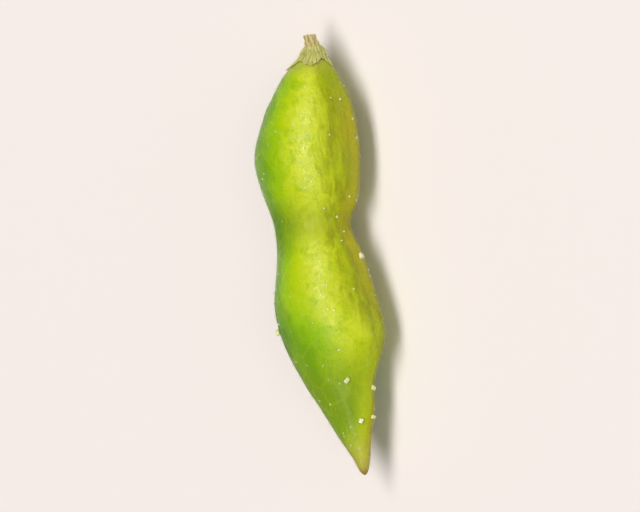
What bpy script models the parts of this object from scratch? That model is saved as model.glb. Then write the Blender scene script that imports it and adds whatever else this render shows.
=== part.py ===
"""A boiled and salted edamame pod with two beans in it, lying on one of its broad faces.

The pod's length runs along Y, with its stalk end towards +Y and its beak towards -Y. Its two seams lie to
-X and +X, its broad faces look up and down, and it rests at z = 0. Distances called "along" are measured
from the cut end of the stalk towards the beak. All sizes are in metres.
"""

import math

import bmesh
import bpy
from mathutils import Matrix, Vector

MM = 0.001

# The pod's outline, from the stalk end to the beak. Each row is a distance along the pod, the place of the
# outer (convex) seam, the place of the inner (hollow) seam, and the thickness through the broad faces.
POD_STATIONS = [
    (1.9 * MM, -1.3 * MM, 0.7 * MM, 1.6 * MM),
    (3.7 * MM, -4.2 * MM, 1.9 * MM, 4.2 * MM),
    (5.4 * MM, -5.7 * MM, 2.6 * MM, 5.8 * MM),
    (8.6 * MM, -7.9 * MM, 3.8 * MM, 8.1 * MM),
    (13.7 * MM, -9.9 * MM, 4.2 * MM, 9.8 * MM),
    (18.0 * MM, -9.4 * MM, 3.7 * MM, 8.8 * MM),
    (20.8 * MM, -8.7 * MM, 3.1 * MM, 7.2 * MM),
    (23.0 * MM, -8.3 * MM, 2.0 * MM, 6.5 * MM),
    (27.0 * MM, -8.3 * MM, 3.2 * MM, 8.1 * MM),
    (33.0 * MM, -9.2 * MM, 4.6 * MM, 9.9 * MM),
    (37.4 * MM, -8.5 * MM, 5.0 * MM, 8.5 * MM),
    (42.5 * MM, -6.2 * MM, 3.1 * MM, 5.5 * MM),
    (46.0 * MM, -4.0 * MM, 2.8 * MM, 3.9 * MM),
    (49.3 * MM, -2.0 * MM, 2.2 * MM, 2.7 * MM),
    (52.0 * MM, -0.2 * MM, 1.9 * MM, 1.6 * MM),
    (54.0 * MM, 0.8 * MM, 1.5 * MM, 0.7 * MM),
]
ALONG, OUTER_SEAM, INNER_SEAM, THICKNESS = range(4)
BEAN_PLACES = (13.7 * MM, 33.0 * MM)
POD_START = POD_STATIONS[0][ALONG]
POD_END = POD_STATIONS[-1][ALONG]
ROUND_TIP = 0.7 * MM  # each end of the pod closes in a dome this long
SEAM_PINCH = 1.08  # 1 makes an elliptical section, more pinches it towards the seams
SEAM_RIDGE = 0.25 * MM
SEAM_SHARPNESS = 30
STALK_END_LIFT = 0.5 * MM  # how far each end curls up from the level of the beans
BEAK_LIFT = 1.1 * MM
RESTING_FLAT = 0.3 * MM  # how far the soft shell is pressed flat under each bean
POD_SIDES = 40
POD_RINGS = 56

GAP = 0.3 * MM  # the room left between neighbouring pieces

SEPAL_COUNT = 5
CALYX_WALL = 0.35 * MM
CALYX_FLOOR = 0.4 * MM  # the thicker base of the cup, which the stalk meets
CALYX_FLOOR_RADIUS = 1.1 * MM
CALYX_CUP = 0.7 * MM  # how far the cup reaches over the pod between two sepals
SEPAL_LENGTH = 1.7 * MM
SEPAL_SHAPE = 2.4  # more makes narrower sepals
CALYX_SIDES = 60
CALYX_RINGS = 16

STALK_END = -0.5 * MM
STALK_RADIUS = 0.8 * MM
STALK_FLARE = 0.25 * MM  # how much wider the stalk is where it meets the calyx
STALK_LEAN = 0.2 * MM
STALK_SIDES = 16
STALK_RINGS = 6

# Coarse salt grains: distance along, place round the section in degrees (0 at the inner seam, 90 on top),
# edge length, and spin on the surface in degrees.
SALT_GRAINS = [
    (42.0 * MM, 59, 0.75 * MM, 25),
    (27.3 * MM, 6, 0.60 * MM, 50),
    (43.4 * MM, 4, 0.65 * MM, 10),
    (46.9 * MM, 4, 0.65 * MM, 70),
    (35.6 * MM, 158, 0.65 * MM, 35),
    (47.2 * MM, 46, 0.55 * MM, 80),
]
SALT_GAP = 0.05 * MM
SALT_HEIGHT = 0.8  # a grain's height over its edge length
SALT_BEVEL = 0.14  # of the edge length

COLOURS = {
    "pod": ((0.36, 0.47, 0.02), 0.38),
    "calyx": ((0.55, 0.46, 0.20), 0.75),
    "stalk": ((0.42, 0.36, 0.12), 0.70),
    "salt": ((0.90, 0.91, 0.88), 0.25),
}


def clear_scene():
    """Removes whatever the scene holds at the start."""
    for item in list(bpy.data.objects):
        bpy.data.objects.remove(item, do_unlink=True)


def make_material(name):
    """One plain Principled material with the finish named in COLOURS."""
    colour, roughness = COLOURS[name]
    material = bpy.data.materials.new(name)
    material.use_nodes = True
    shader = material.node_tree.nodes["Principled BSDF"]
    shader.inputs["Base Color"].default_value = (*colour, 1.0)
    shader.inputs["Roughness"].default_value = roughness
    shader.inputs["Metallic"].default_value = 0.0
    return material


def slope(stations, row, column):
    """The slope of one column at a row, from the rows on both sides of it."""
    before = stations[max(row - 1, 0)]
    after = stations[min(row + 1, len(stations) - 1)]
    return (after[column] - before[column]) / (after[ALONG] - before[ALONG])


def read_station(along, column):
    """One column of POD_STATIONS, read on a smooth curve through its rows."""
    along = min(max(along, POD_START), POD_END)
    row = max(i for i, station in enumerate(POD_STATIONS[:-1]) if station[ALONG] <= along)
    low, high = POD_STATIONS[row], POD_STATIONS[row + 1]
    span = high[ALONG] - low[ALONG]
    t = (along - low[ALONG]) / span
    rise_in = slope(POD_STATIONS, row, column) * span
    rise_out = slope(POD_STATIONS, row + 1, column) * span
    from_low = (2 * t**3 - 3 * t**2 + 1) * low[column] + (t**3 - 2 * t**2 + t) * rise_in
    from_high = (3 * t**2 - 2 * t**3) * high[column] + (t**3 - t**2) * rise_out
    return from_low + from_high


def dome(along):
    """How far the section is drawn in near the two ends: 0 at a tip, 1 away from it."""
    from_tip = min(along - POD_START, POD_END - along) / ROUND_TIP
    if from_tip >= 1:
        return 1.0
    return math.sqrt(max(0.0, 1 - (1 - from_tip) ** 2))


def end_lift(along):
    """How far the pod's middle plane rises towards its two ends, beyond the beans."""
    first_bean, last_bean = BEAN_PLACES
    if along < first_bean:
        return STALK_END_LIFT * ((first_bean - along) / (first_bean - POD_START)) ** 2
    if along > last_bean:
        return BEAK_LIFT * ((along - last_bean) / (POD_END - last_bean)) ** 2
    return 0.0


def pod_point(along, turn, proud=0.0):
    """A point on the pod's skin, or proud of it. The turn is 0 at the inner seam and pi / 2 on the top face."""
    outer, inner = read_station(along, OUTER_SEAM), read_station(along, INNER_SEAM)
    across, lift = math.cos(turn), math.sin(turn)
    half_width = (inner - outer) / 2 * dome(along) + proud
    half_width += SEAM_RIDGE * abs(across) ** SEAM_SHARPNESS * dome(along)
    half_thick = read_station(along, THICKNESS) / 2 * dome(along) + proud
    height = math.copysign(abs(lift) ** SEAM_PINCH, lift) * half_thick + end_lift(along)
    return Vector(((inner + outer) / 2 + half_width * across, -along, height))


def pod_normal(along, turn):
    """The outward direction of the pod's skin at a point."""
    step = 0.2 * MM
    forward = pod_point(along + step, turn) - pod_point(along - step, turn)
    sideways = pod_point(along, turn + 0.05) - pod_point(along, turn - 0.05)
    return sideways.cross(forward).normalized()


def sphere_grid(sides, rings):
    """A unit sphere whose poles lie on +Y and -Y."""
    bm = bmesh.new()
    upright = Matrix.Rotation(math.radians(-90), 4, "X")
    bmesh.ops.create_uvsphere(bm, u_segments=sides, v_segments=rings, radius=1.0, matrix=upright)
    return bm


def place_on_sphere(bm, place):
    """Moves each point of a sphere grid to place(run, turn): run is 0 at the +Y pole and 1 at the other."""
    for vert in bm.verts:
        run = math.acos(max(-1.0, min(1.0, vert.co.y))) / math.pi
        turn = math.atan2(vert.co.z, vert.co.x)
        vert.co = place(run, turn)


def add_object(name, bm, material):
    """Turns a finished bmesh into a smooth-shaded object."""
    mesh = bpy.data.meshes.new(name)
    bm.to_mesh(mesh)
    bm.free()
    mesh.materials.append(material)
    mesh.shade_smooth()
    piece = bpy.data.objects.new(name, mesh)
    bpy.context.scene.collection.objects.link(piece)
    return piece


def make_pod(material):
    """The whole pod: shell and beans as one grown piece, pressed flat where it rests."""
    bm = sphere_grid(POD_SIDES, POD_RINGS)

    def place(run, turn):
        eased = 0.6 * run + 0.4 * (1 - math.cos(math.pi * run)) / 2
        return pod_point(POD_START + eased * (POD_END - POD_START), turn)

    place_on_sphere(bm, place)
    lowest = min(vert.co.z for vert in bm.verts)
    for vert in bm.verts:
        vert.co.z = max(vert.co.z, lowest + RESTING_FLAT)
    return add_object("pod", bm, material)


def sepal_reach(turn):
    """How far along the pod the calyx's rim lies: far at the tip of a sepal, near between two."""
    tooth = abs(math.cos(turn * SEPAL_COUNT / 2)) ** SEPAL_SHAPE
    return POD_START + CALYX_CUP + SEPAL_LENGTH * tooth


def calyx_axis(along):
    """The middle of the pod's stalk end, carried on outwards."""
    centre = (read_station(POD_START, OUTER_SEAM) + read_station(POD_START, INNER_SEAM)) / 2
    return Vector((centre, -along, end_lift(POD_START)))


def calyx_point(run, turn):
    """A point of the calyx: run goes from the middle of its base up the outside and back down the inside."""
    outside = run <= 0.5
    depth = 2 * run if outside else 2 * (1 - run)
    floor = POD_START - GAP - (CALYX_FLOOR if outside else 0.0)
    wall = GAP + (CALYX_WALL if outside else 0.0)
    along = floor + depth * (sepal_reach(turn) - floor)
    skin = pod_point(max(along, POD_START), turn, wall)
    middle = calyx_axis(max(along, POD_START))
    spoke = skin - middle
    least = CALYX_FLOOR_RADIUS if outside else wall
    radius = (spoke.length**4 + least**4) ** 0.25
    short_of_pod = max(0.0, POD_START - along) / (POD_START - floor)
    return calyx_axis(along) + spoke.normalized() * radius * math.sqrt(max(0.0, 1 - short_of_pod**2))


def make_calyx(material):
    """The withered cup of sepals round the pod's stalk end, as a wall with an outside and an inside."""
    bm = sphere_grid(CALYX_SIDES, CALYX_RINGS)
    place_on_sphere(bm, calyx_point)
    return add_object("calyx", bm, material)


def make_stalk(material):
    """The short stub of stalk left on the calyx, a little wider at its foot."""
    bm = bmesh.new()
    upright = Matrix.Rotation(math.radians(-90), 4, "X")
    bmesh.ops.create_cone(bm, cap_ends=True, segments=STALK_SIDES, radius1=1, radius2=1, depth=1, matrix=upright)
    sides = [edge for edge in bm.edges if abs(edge.verts[0].co.y - edge.verts[1].co.y) > 0.5]
    bmesh.ops.subdivide_edges(bm, edges=sides, cuts=STALK_RINGS - 1, use_grid_fill=True)
    foot = POD_START - GAP - CALYX_FLOOR - GAP
    for vert in bm.verts:
        height = vert.co.y + 0.5
        radius = STALK_RADIUS + STALK_FLARE * (1 - height) ** 3
        middle = calyx_axis(foot - height * (foot - STALK_END)) + Vector((-STALK_LEAN * height**2, 0, 0))
        vert.co = middle + Vector((vert.co.x, 0, vert.co.z)) * radius
    caps = [edge for edge in bm.edges if sum(len(face.verts) > 4 for face in edge.link_faces) == 1]
    bmesh.ops.bevel(
        bm, geom=caps, offset=0.2 * MM, segments=2, profile=0.5, affect="EDGES", material=-1, clamp_overlap=True
    )
    bmesh.ops.recalc_face_normals(bm, faces=bm.faces)
    return add_object("stalk", bm, material)


def make_salt_grain(number, grain, material):
    """One coarse grain of salt: a worn cube lying on the pod's skin."""
    along, degrees, edge, spin = grain
    turn = math.radians(degrees)
    normal = pod_normal(along, turn)
    height = edge * SALT_HEIGHT
    bm = bmesh.new()
    bmesh.ops.create_cube(bm, size=edge)
    bmesh.ops.scale(bm, vec=(1, 1, SALT_HEIGHT), verts=bm.verts)
    bmesh.ops.bevel(
        bm, geom=bm.edges[:], offset=edge * SALT_BEVEL, segments=1, profile=0.5, affect="EDGES", material=-1
    )
    facing = normal.to_track_quat("Z", "Y").to_matrix().to_4x4()
    middle = pod_point(along, turn) + normal * (height / 2 + SALT_GAP)
    where = Matrix.Translation(middle) @ facing @ Matrix.Rotation(math.radians(spin), 4, "Z")
    bmesh.ops.transform(bm, matrix=where, verts=bm.verts)
    return add_object(f"salt_grain_{number}", bm, material)


def stand_on_origin(pieces):
    """Moves every piece so that the origin is under the middle of the whole, on the surface it rests on."""
    points = [vert.co for piece in pieces for vert in piece.data.vertices]
    low = Vector([min(point[axis] for point in points) for axis in range(3)])
    high = Vector([max(point[axis] for point in points) for axis in range(3)])
    base = Vector(((low.x + high.x) / 2, (low.y + high.y) / 2, low.z))
    for piece in pieces:
        piece.data.transform(Matrix.Translation(-base))


def main():
    """Builds every piece of the pod."""
    clear_scene()
    pieces = [
        make_pod(make_material("pod")),
        make_calyx(make_material("calyx")),
        make_stalk(make_material("stalk")),
    ]
    salt = make_material("salt")
    for number, grain in enumerate(SALT_GRAINS, start=1):
        pieces.append(make_salt_grain(number, grain, salt))
    stand_on_origin(pieces)


main()
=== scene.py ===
"""Looks of a boiled and salted edamame pod: its skin, hairs, withered calyx, stub of stalk and salt.

The pod lies on a broad face, with its stalk end towards +Y and its beak towards -Y. Its inner (hollow) seam
is on the +X side and its outer (convex) seam on the -X side. Sizes are in metres. "Along" is the distance
from the stalk towards the beak, and "turn" is the angle round the pod's section: 0 at the inner seam, a
quarter turn on the upper face and half a turn at the outer seam.
"""

import logging
import math
import random
from dataclasses import dataclass
from enum import Enum
from functools import lru_cache

import bmesh
import bpy
from mathutils import Matrix, Vector, noise


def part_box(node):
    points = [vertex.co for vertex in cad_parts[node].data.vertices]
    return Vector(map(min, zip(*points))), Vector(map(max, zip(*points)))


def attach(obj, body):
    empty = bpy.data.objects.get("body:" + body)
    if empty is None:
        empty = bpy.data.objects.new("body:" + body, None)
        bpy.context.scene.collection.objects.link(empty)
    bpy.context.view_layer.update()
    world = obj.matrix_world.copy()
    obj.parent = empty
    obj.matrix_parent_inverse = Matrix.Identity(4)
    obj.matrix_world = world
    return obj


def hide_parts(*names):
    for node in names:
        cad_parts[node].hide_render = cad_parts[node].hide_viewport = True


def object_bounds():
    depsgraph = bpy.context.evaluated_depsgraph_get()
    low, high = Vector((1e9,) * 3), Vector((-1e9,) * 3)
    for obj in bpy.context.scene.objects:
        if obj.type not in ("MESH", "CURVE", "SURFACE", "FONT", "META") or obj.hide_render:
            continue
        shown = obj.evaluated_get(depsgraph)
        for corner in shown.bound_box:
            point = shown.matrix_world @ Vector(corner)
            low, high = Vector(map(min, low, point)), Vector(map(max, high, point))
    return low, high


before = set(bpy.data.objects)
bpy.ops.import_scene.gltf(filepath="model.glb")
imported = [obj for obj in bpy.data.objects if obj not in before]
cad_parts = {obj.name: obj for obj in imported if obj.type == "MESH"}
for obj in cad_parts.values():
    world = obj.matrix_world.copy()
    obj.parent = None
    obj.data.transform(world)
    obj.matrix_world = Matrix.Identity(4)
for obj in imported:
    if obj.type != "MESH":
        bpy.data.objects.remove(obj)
cad_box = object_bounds()

MM = 0.001
CRYSTAL_EDGE = math.radians(35)
BODY = "root"
LOG = logging.getLogger("edamame_pod")

Colour = tuple[float, float, float, float]
Stops = tuple[tuple[float, str], ...]
Footing = tuple[Vector, Vector]
Socket = bpy.types.NodeSocket


class Slot(Enum):
    """The record's material slots."""

    SKIN = "pod_skin"
    CALYX = "dry_calyx"
    STALK = "dry_stalk"
    SALT = "salt"


class Feature(Enum):
    """What a cell pattern gives: the distance to a cell's middle, or to the line between two cells."""

    MIDDLE = "F1"
    BORDER = "DISTANCE_TO_EDGE"


class Sum(Enum):
    """What a Math node makes of its numbers."""

    PLUS = "ADD"
    MINUS = "SUBTRACT"
    TIMES = "MULTIPLY"
    GREATER = "MAXIMUM"
    UNSIGNED = "ABSOLUTE"


def linear(code: str) -> Colour:
    """Turns a screen colour into the linear one that a shader takes.

    Args:
        code: The colour as six hexadecimal digits after a #.

    Returns:
        Red, green, blue and an alpha of 1.
    """
    channels = [int(code[start : start + 2], 16) / 255 for start in (1, 3, 5)]
    low = [c / 12.92 if c <= 0.04045 else ((c + 0.055) / 1.055) ** 2.4 for c in channels]
    return (low[0], low[1], low[2], 1.0)


def bell(distance: float, width: float) -> float:
    """A smooth hump of height 1: 0 distance is its top, and it has faded at about two widths."""
    return math.exp(-((distance / width) ** 2))


def ease(value: float, low: float, high: float) -> float:
    """Rises smoothly from 0 at low to 1 at high."""
    t = min(1.0, max(0.0, (value - low) / (high - low)))
    return t * t * (3 - 2 * t)


# ---------------------------------------------------------------------------------------------------------
# Shape
# ---------------------------------------------------------------------------------------------------------


@dataclass(frozen=True)
class Station:
    """One section of the pod: its distance along, the places of its two seams, and its thickness."""

    along: float
    outer: float
    inner: float
    thick: float


def station(along: float, outer: float, inner: float, thick: float) -> Station:
    """A station given in millimetres."""
    return Station(along * MM, outer * MM, inner * MM, thick * MM)


@dataclass(eq=False)
class PodShape:
    """The plain shape of the pod, which every other piece is placed on."""

    stations: tuple[Station, ...] = (
        station(1.9, -1.3, 0.7, 1.6),
        station(3.7, -4.2, 1.9, 4.2),
        station(5.4, -5.7, 2.6, 5.8),
        station(8.6, -7.9, 3.8, 8.1),
        station(13.7, -9.9, 4.2, 9.8),
        station(18.0, -9.4, 3.7, 8.8),
        station(20.8, -8.7, 3.1, 7.2),
        station(23.0, -8.3, 2.0, 6.5),
        station(27.0, -8.3, 3.2, 8.1),
        station(33.0, -9.2, 4.6, 9.9),
        station(37.4, -8.5, 5.0, 8.5),
        station(42.5, -6.2, 3.1, 5.5),
        station(46.0, -4.0, 2.8, 3.9),
        station(49.3, -2.0, 2.2, 2.7),
        station(52.0, -0.2, 1.9, 1.6),
        station(54.0, 0.8, 1.5, 0.7),
    )
    beans: tuple[float, float] = (13.7 * MM, 33.0 * MM)
    waist: float = 23.0 * MM
    round_tip: float = 0.7 * MM
    seam_pinch: float = 1.08
    stalk_end_lift: float = 0.5 * MM
    beak_lift: float = 1.1 * MM
    resting_flat: float = 0.3 * MM
    probe: tuple[float, float] = (0.2 * MM, 0.05)
    shift: Vector = Vector((0, 0, 0))

    @property
    def start(self) -> float:
        """Where the pod begins, under the calyx."""
        return self.stations[0].along

    @property
    def end(self) -> float:
        """Where the beak ends."""
        return self.stations[-1].along

    def at_share(self, share: float) -> float:
        """The distance along at a share of the pod's length, from 0 at its start to 1 at its end."""
        return self.start + (self.end - self.start) * share

    def settle(self, low: Vector, high: Vector, steps: int = 200) -> None:
        """Shifts the shape so that it fills the box that the solid pod has.

        Args:
            low: The box's lowest corner.
            high: The box's highest corner.
            steps: How many steps along the pod its own limits are read at.
        """
        places = [self.start + (self.end - self.start) * i / steps for i in range(steps + 1)]
        right = max(self.section(a).inner for a in places)
        left = min(self.section(a).outer for a in places)
        bottom = min(self.lift(a) - self.section(a).thick / 2 for a in places) + self.resting_flat
        self.shift = Vector(((low.x + high.x - left - right) / 2, high.y + self.start, low.z - bottom))

    @lru_cache(maxsize=20000)
    def section(self, along: float) -> Station:
        """The section at any distance along, on a smooth curve through the stations.

        Args:
            along: The distance, which is held between the two tips.

        Returns:
            The section there.
        """
        along = min(max(along, self.start), self.end)
        row = max(i for i, item in enumerate(self.stations[:-1]) if item.along <= along)
        low, high = self.stations[row], self.stations[row + 1]
        before, after = self.stations[max(row - 1, 0)], self.stations[min(row + 2, len(self.stations) - 1)]
        span = high.along - low.along
        t = (along - low.along) / span

        def read(name: str) -> float:
            """Curves one of the section's sizes between the two stations beside it.

            Args:
                name: The size's name.

            Returns:
                The size there.
            """
            rise_in = (getattr(high, name) - getattr(before, name)) / (high.along - before.along) * span
            rise_out = (getattr(after, name) - getattr(low, name)) / (after.along - low.along) * span
            from_low = (2 * t**3 - 3 * t**2 + 1) * getattr(low, name) + (t**3 - 2 * t**2 + t) * rise_in
            from_high = (3 * t**2 - 2 * t**3) * getattr(high, name) + (t**3 - t**2) * rise_out
            return from_low + from_high

        return Station(along, read("outer"), read("inner"), read("thick"))

    def lift(self, along: float) -> float:
        """How far the middle plane curls up, which it does only beyond the two beans.

        Args:
            along: The distance along the pod.

        Returns:
            The height over the plane that the beans lie in.
        """
        first, last = self.beans
        if along < first:
            return self.stalk_end_lift * ((first - along) / (first - self.start)) ** 2
        if along > last:
            return self.beak_lift * ((along - last) / (self.end - last)) ** 2
        return 0.0

    def dome(self, along: float) -> float:
        """0 at either tip, rising to 1 a short way in, so that the ends are round."""
        from_tip = min(along - self.start, self.end - along) / self.round_tip
        return 1.0 if from_tip >= 1 else math.sqrt(max(0.0, 1 - (1 - from_tip) ** 2))

    def axis(self, along: float) -> Vector:
        """The middle of the section at a distance along, carried straight on past the two ends."""
        item = self.section(along)
        return Vector(((item.outer + item.inner) / 2, -along, self.lift(item.along))) + self.shift

    def point(self, along: float, turn: float, proud: float = 0.0) -> Vector:
        """A point on the plain skin, or proud of it.

        Args:
            along: Its distance along the pod.
            turn: Its place round the section.
            proud: How far it stands out from the skin.

        Returns:
            The point.
        """
        item = self.section(along)
        closing = self.dome(item.along)
        wide = (item.inner - item.outer) / 2 * closing + proud
        thick = item.thick / 2 * closing + proud
        rise = math.copysign(abs(math.sin(turn)) ** self.seam_pinch, math.sin(turn)) * thick
        return self.axis(along) + Vector((math.cos(turn) * wide, 0, rise))

    def normal(self, along: float, turn: float) -> Vector:
        """The outward direction of the plain skin, from points a little to each side.

        Args:
            along: The distance along the pod.
            turn: The place round the section.

        Returns:
            The direction, of length 1.
        """
        step, twist = self.probe
        forward = self.point(along + step, turn) - self.point(along - step, turn)
        sideways = self.point(along, turn + twist) - self.point(along, turn - twist)
        return sideways.cross(forward).normalized()


def sphere_grid(sides: int, rings: int) -> bmesh.types.BMesh:
    """A unit sphere whose poles lie on +Y and -Y, to be moved into a closed piece.

    Args:
        sides: The number of faces round it.
        rings: The number of faces from pole to pole.

    Returns:
        The sphere, rolled up from a flat grid whose edges are merged and whose faces are turned outwards.
    """
    bm = bmesh.new()
    bmesh.ops.create_grid(bm, x_segments=sides, y_segments=rings, size=1.0)
    for vert in bm.verts:
        turn, run = math.pi * vert.co.x, math.pi * (1 - vert.co.y) / 2
        around = math.sin(run)
        vert.co = (around * math.cos(turn), math.cos(run), around * math.sin(turn))
    rim = [vert for vert in bm.verts if vert.is_boundary]
    bmesh.ops.remove_doubles(bm, verts=rim, dist=1e-5)
    bmesh.ops.reverse_faces(bm, faces=bm.faces[:])
    return bm


def sphere_place(vert: bmesh.types.BMVert) -> tuple[float, float]:
    """Where a point lies on a sphere grid: its run from 0 at the +Y pole to 1, and its turn."""
    run = math.acos(max(-1.0, min(1.0, vert.co.y))) / math.pi
    return run, math.atan2(vert.co.z, vert.co.x)


def graft(bm: bmesh.types.BMesh, small: bmesh.types.BMesh, held: bpy.types.Mesh) -> None:
    """Adds a small shape to a bigger one.

    Args:
        bm: The mesh that grows.
        small: The shape to add, which is freed.
        held: A mesh to carry it across.
    """
    small.to_mesh(held)
    small.free()
    bm.from_mesh(held)


def place_mesh(name: str, bm: bmesh.types.BMesh, material: bpy.types.Material) -> bpy.types.Object:
    """Puts a finished bmesh in the scene.

    Args:
        name: The object's name.
        bm: The finished shape, which is freed.
        material: Its finish.

    Returns:
        The object.
    """
    mesh = bpy.data.meshes.new(name)
    bm.to_mesh(mesh)
    bm.free()
    mesh.materials.append(material)
    placed = bpy.data.objects.new(name, mesh)
    bpy.context.scene.collection.objects.link(placed)
    return placed


def publish(
    name: str, bm: bmesh.types.BMesh, material: bpy.types.Material, slot: Slot
) -> bpy.types.Object:
    """Makes a smooth-shaded piece of a finished bmesh and lets it ride with the object.

    Args:
        name: The piece's name.
        bm: The finished shape, which is freed.
        material: The piece's finish.
        slot: The record's material slot that the piece belongs to.

    Returns:
        The new piece.
    """
    piece = place_mesh(name, bm, material)
    piece.data.shade_smooth()
    if slot is Slot.SALT:
        piece.data.set_sharp_from_angle(angle=CRYSTAL_EDGE)
    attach(piece, BODY)
    LOG.info("%s: %d faces", name, len(piece.data.polygons))
    return piece


# ---------------------------------------------------------------------------------------------------------
# Finishes
# ---------------------------------------------------------------------------------------------------------


class Shader:
    """A Principled material being put together, with short calls for the nodes that feed it."""

    def __init__(self, name: str) -> None:
        """Starts a material with one Principled node.

        Args:
            name: The material's name.
        """
        self.material = bpy.data.materials.new(name)
        self.material.use_nodes = True
        self.tree = self.material.node_tree
        self.surface = self.tree.nodes["Principled BSDF"]
        self.coords = self.tree.nodes.new("ShaderNodeTexCoord").outputs["Object"]

    def node(self, kind: str, **settings: object) -> bpy.types.Node:
        """Adds a node.

        Args:
            kind: The node's type.
            **settings: The properties to set on it.

        Returns:
            The node.
        """
        made = self.tree.nodes.new(kind)
        for name, value in settings.items():
            setattr(made, name, value)
        return made

    def feed(self, socket: Socket, value: object) -> None:
        """Links an output to a socket, or sets a plain value on it.

        Args:
            socket: The socket to feed.
            value: The output or the value.
        """
        if isinstance(value, Socket):
            self.tree.links.new(value, socket)
        else:
            socket.default_value = value

    def set(self, **values: object) -> None:
        """Feeds Principled sockets, named with underscores for their spaces."""
        for name, value in values.items():
            self.feed(self.surface.inputs[name.replace("_", " ")], value)

    def stretched(self, x: float, y: float, z: float) -> Socket:
        """Object coordinates scaled along the three axes.

        Args:
            x: The scale along X.
            y: The scale along Y.
            z: The scale along Z.

        Returns:
            The coordinates.
        """
        mapping = self.node("ShaderNodeMapping")
        self.feed(mapping.inputs["Vector"], self.coords)
        mapping.inputs["Scale"].default_value = (x, y, z)
        return mapping.outputs["Vector"]

    def noise(
        self,
        size: float,
        detail: float = 2.0,
        rough: float = 0.5,
        warp: float = 0.0,
        at: Socket | None = None,
    ) -> Socket:
        """A soft noise, from 0 to 1.

        Args:
            size: About how far across its lumps are.
            detail: How many finer noises lie on it.
            rough: How strong the finer ones are.
            warp: How far the lumps are pulled out of shape.
            at: The coordinates, or None for the object's own.

        Returns:
            The noise.
        """
        made = self.node("ShaderNodeTexNoise")
        self.feed(made.inputs["Vector"], at or self.coords)
        made.inputs["Scale"].default_value = 1 / size
        made.inputs["Detail"].default_value = detail
        made.inputs["Roughness"].default_value = rough
        made.inputs["Distortion"].default_value = warp
        return made.outputs["Fac"]

    def cells(self, size: float, feature: Feature, at: Socket | None = None) -> Socket:
        """A pattern of cells.

        Args:
            size: About how far across the cells are.
            feature: What the pattern gives.
            at: The coordinates, or None for the object's own.

        Returns:
            The distance that the feature names.
        """
        made = self.node("ShaderNodeTexVoronoi", feature=feature.value)
        self.feed(made.inputs["Vector"], at or self.coords)
        made.inputs["Scale"].default_value = 1 / size
        return made.outputs["Distance"]

    def attribute(self, name: str) -> Socket:
        """A number kept on the mesh."""
        return self.node("ShaderNodeAttribute", attribute_name=name).outputs["Fac"]

    def span(self, value: object, low: float, high: float, to_low: float, to_high: float) -> Socket:
        """Maps a number smoothly onto new limits, which it doesn't pass.

        Args:
            value: The number.
            low: Where the change begins. It may be the higher of the two.
            high: Where the change ends.
            to_low: What the result is at low.
            to_high: What the result is at high.

        Returns:
            The mapped number.
        """
        made = self.node("ShaderNodeMapRange", interpolation_type="SMOOTHSTEP")
        limits = {"Value": value, "From Min": low, "From Max": high, "To Min": to_low, "To Max": to_high}
        for name, item in limits.items():
            self.feed(made.inputs[name], item)
        return made.outputs["Result"]

    def sum(self, kind: Sum, first: object, second: object = 0.0) -> Socket:
        """Works out one number from two.

        Args:
            kind: What to do with them.
            first: The first number.
            second: The second number, which UNSIGNED doesn't use.

        Returns:
            The result.
        """
        made = self.node("ShaderNodeMath", operation=kind.value)
        self.feed(made.inputs[0], first)
        self.feed(made.inputs[1], second)
        return made.outputs[0]

    def times(self, first: object, second: object) -> Socket:
        """The product of two numbers."""
        return self.sum(Sum.TIMES, first, second)

    def fade(self, value: object, none: float, full: float, amount: float = 1.0) -> Socket:
        """An amount that is 0 where a number is none, and in full where it is full and beyond."""
        return self.span(value, none, full, to_low=0.0, to_high=amount)

    def band(self, value: object, rise: tuple[float, float], fall: tuple[float, float]) -> Socket:
        """1 over a band of a number's values: 0 before rise begins, and again where fall ends."""
        return self.times(self.fade(value, *rise), self.fade(value, none=fall[1], full=fall[0]))

    def tint(self, colour: object, code: str, amount: object) -> Socket:
        """Mixes a screen colour into the colour so far.

        Args:
            colour: The colour so far.
            code: The screen colour.
            amount: How much of it, from 0 to 1.

        Returns:
            The mixed colour.
        """
        made = self.node("ShaderNodeMix", data_type="RGBA")
        self.feed(made.inputs["Factor"], amount)
        # Its sockets for numbers and for colours have the same names, so the ones for colours go by number.
        self.feed(made.inputs[6], colour)
        self.feed(made.inputs[7], linear(code))
        return made.outputs[2]

    def ramp(self, value: object, stops: Stops) -> Socket:
        """A run of colours over a number from 0 to 1.

        Args:
            value: The number.
            stops: Where each screen colour stands.

        Returns:
            The colour.
        """
        made = self.node("ShaderNodeValToRGB")
        made.color_ramp.interpolation = "EASE"
        elements = made.color_ramp.elements
        while len(elements) < len(stops):
            elements.new(0.5)
        for element, (where, code) in zip(elements, stops):
            element.position = where
            element.color = linear(code)
        self.feed(made.inputs["Fac"], value)
        return made.outputs["Color"]

    def bump(self, height: object, depth: float, under: Socket | None = None) -> Socket:
        """Relief too fine for the mesh.

        Args:
            height: The relief, from 0 to 1.
            depth: How high 1 is.
            under: Other relief that this lies on.

        Returns:
            The direction of the surface.
        """
        made = self.node("ShaderNodeBump")
        made.inputs["Distance"].default_value = depth
        self.feed(made.inputs["Height"], height)
        if under is not None:
            self.feed(made.inputs["Normal"], under)
        return made.outputs["Normal"]


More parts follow.
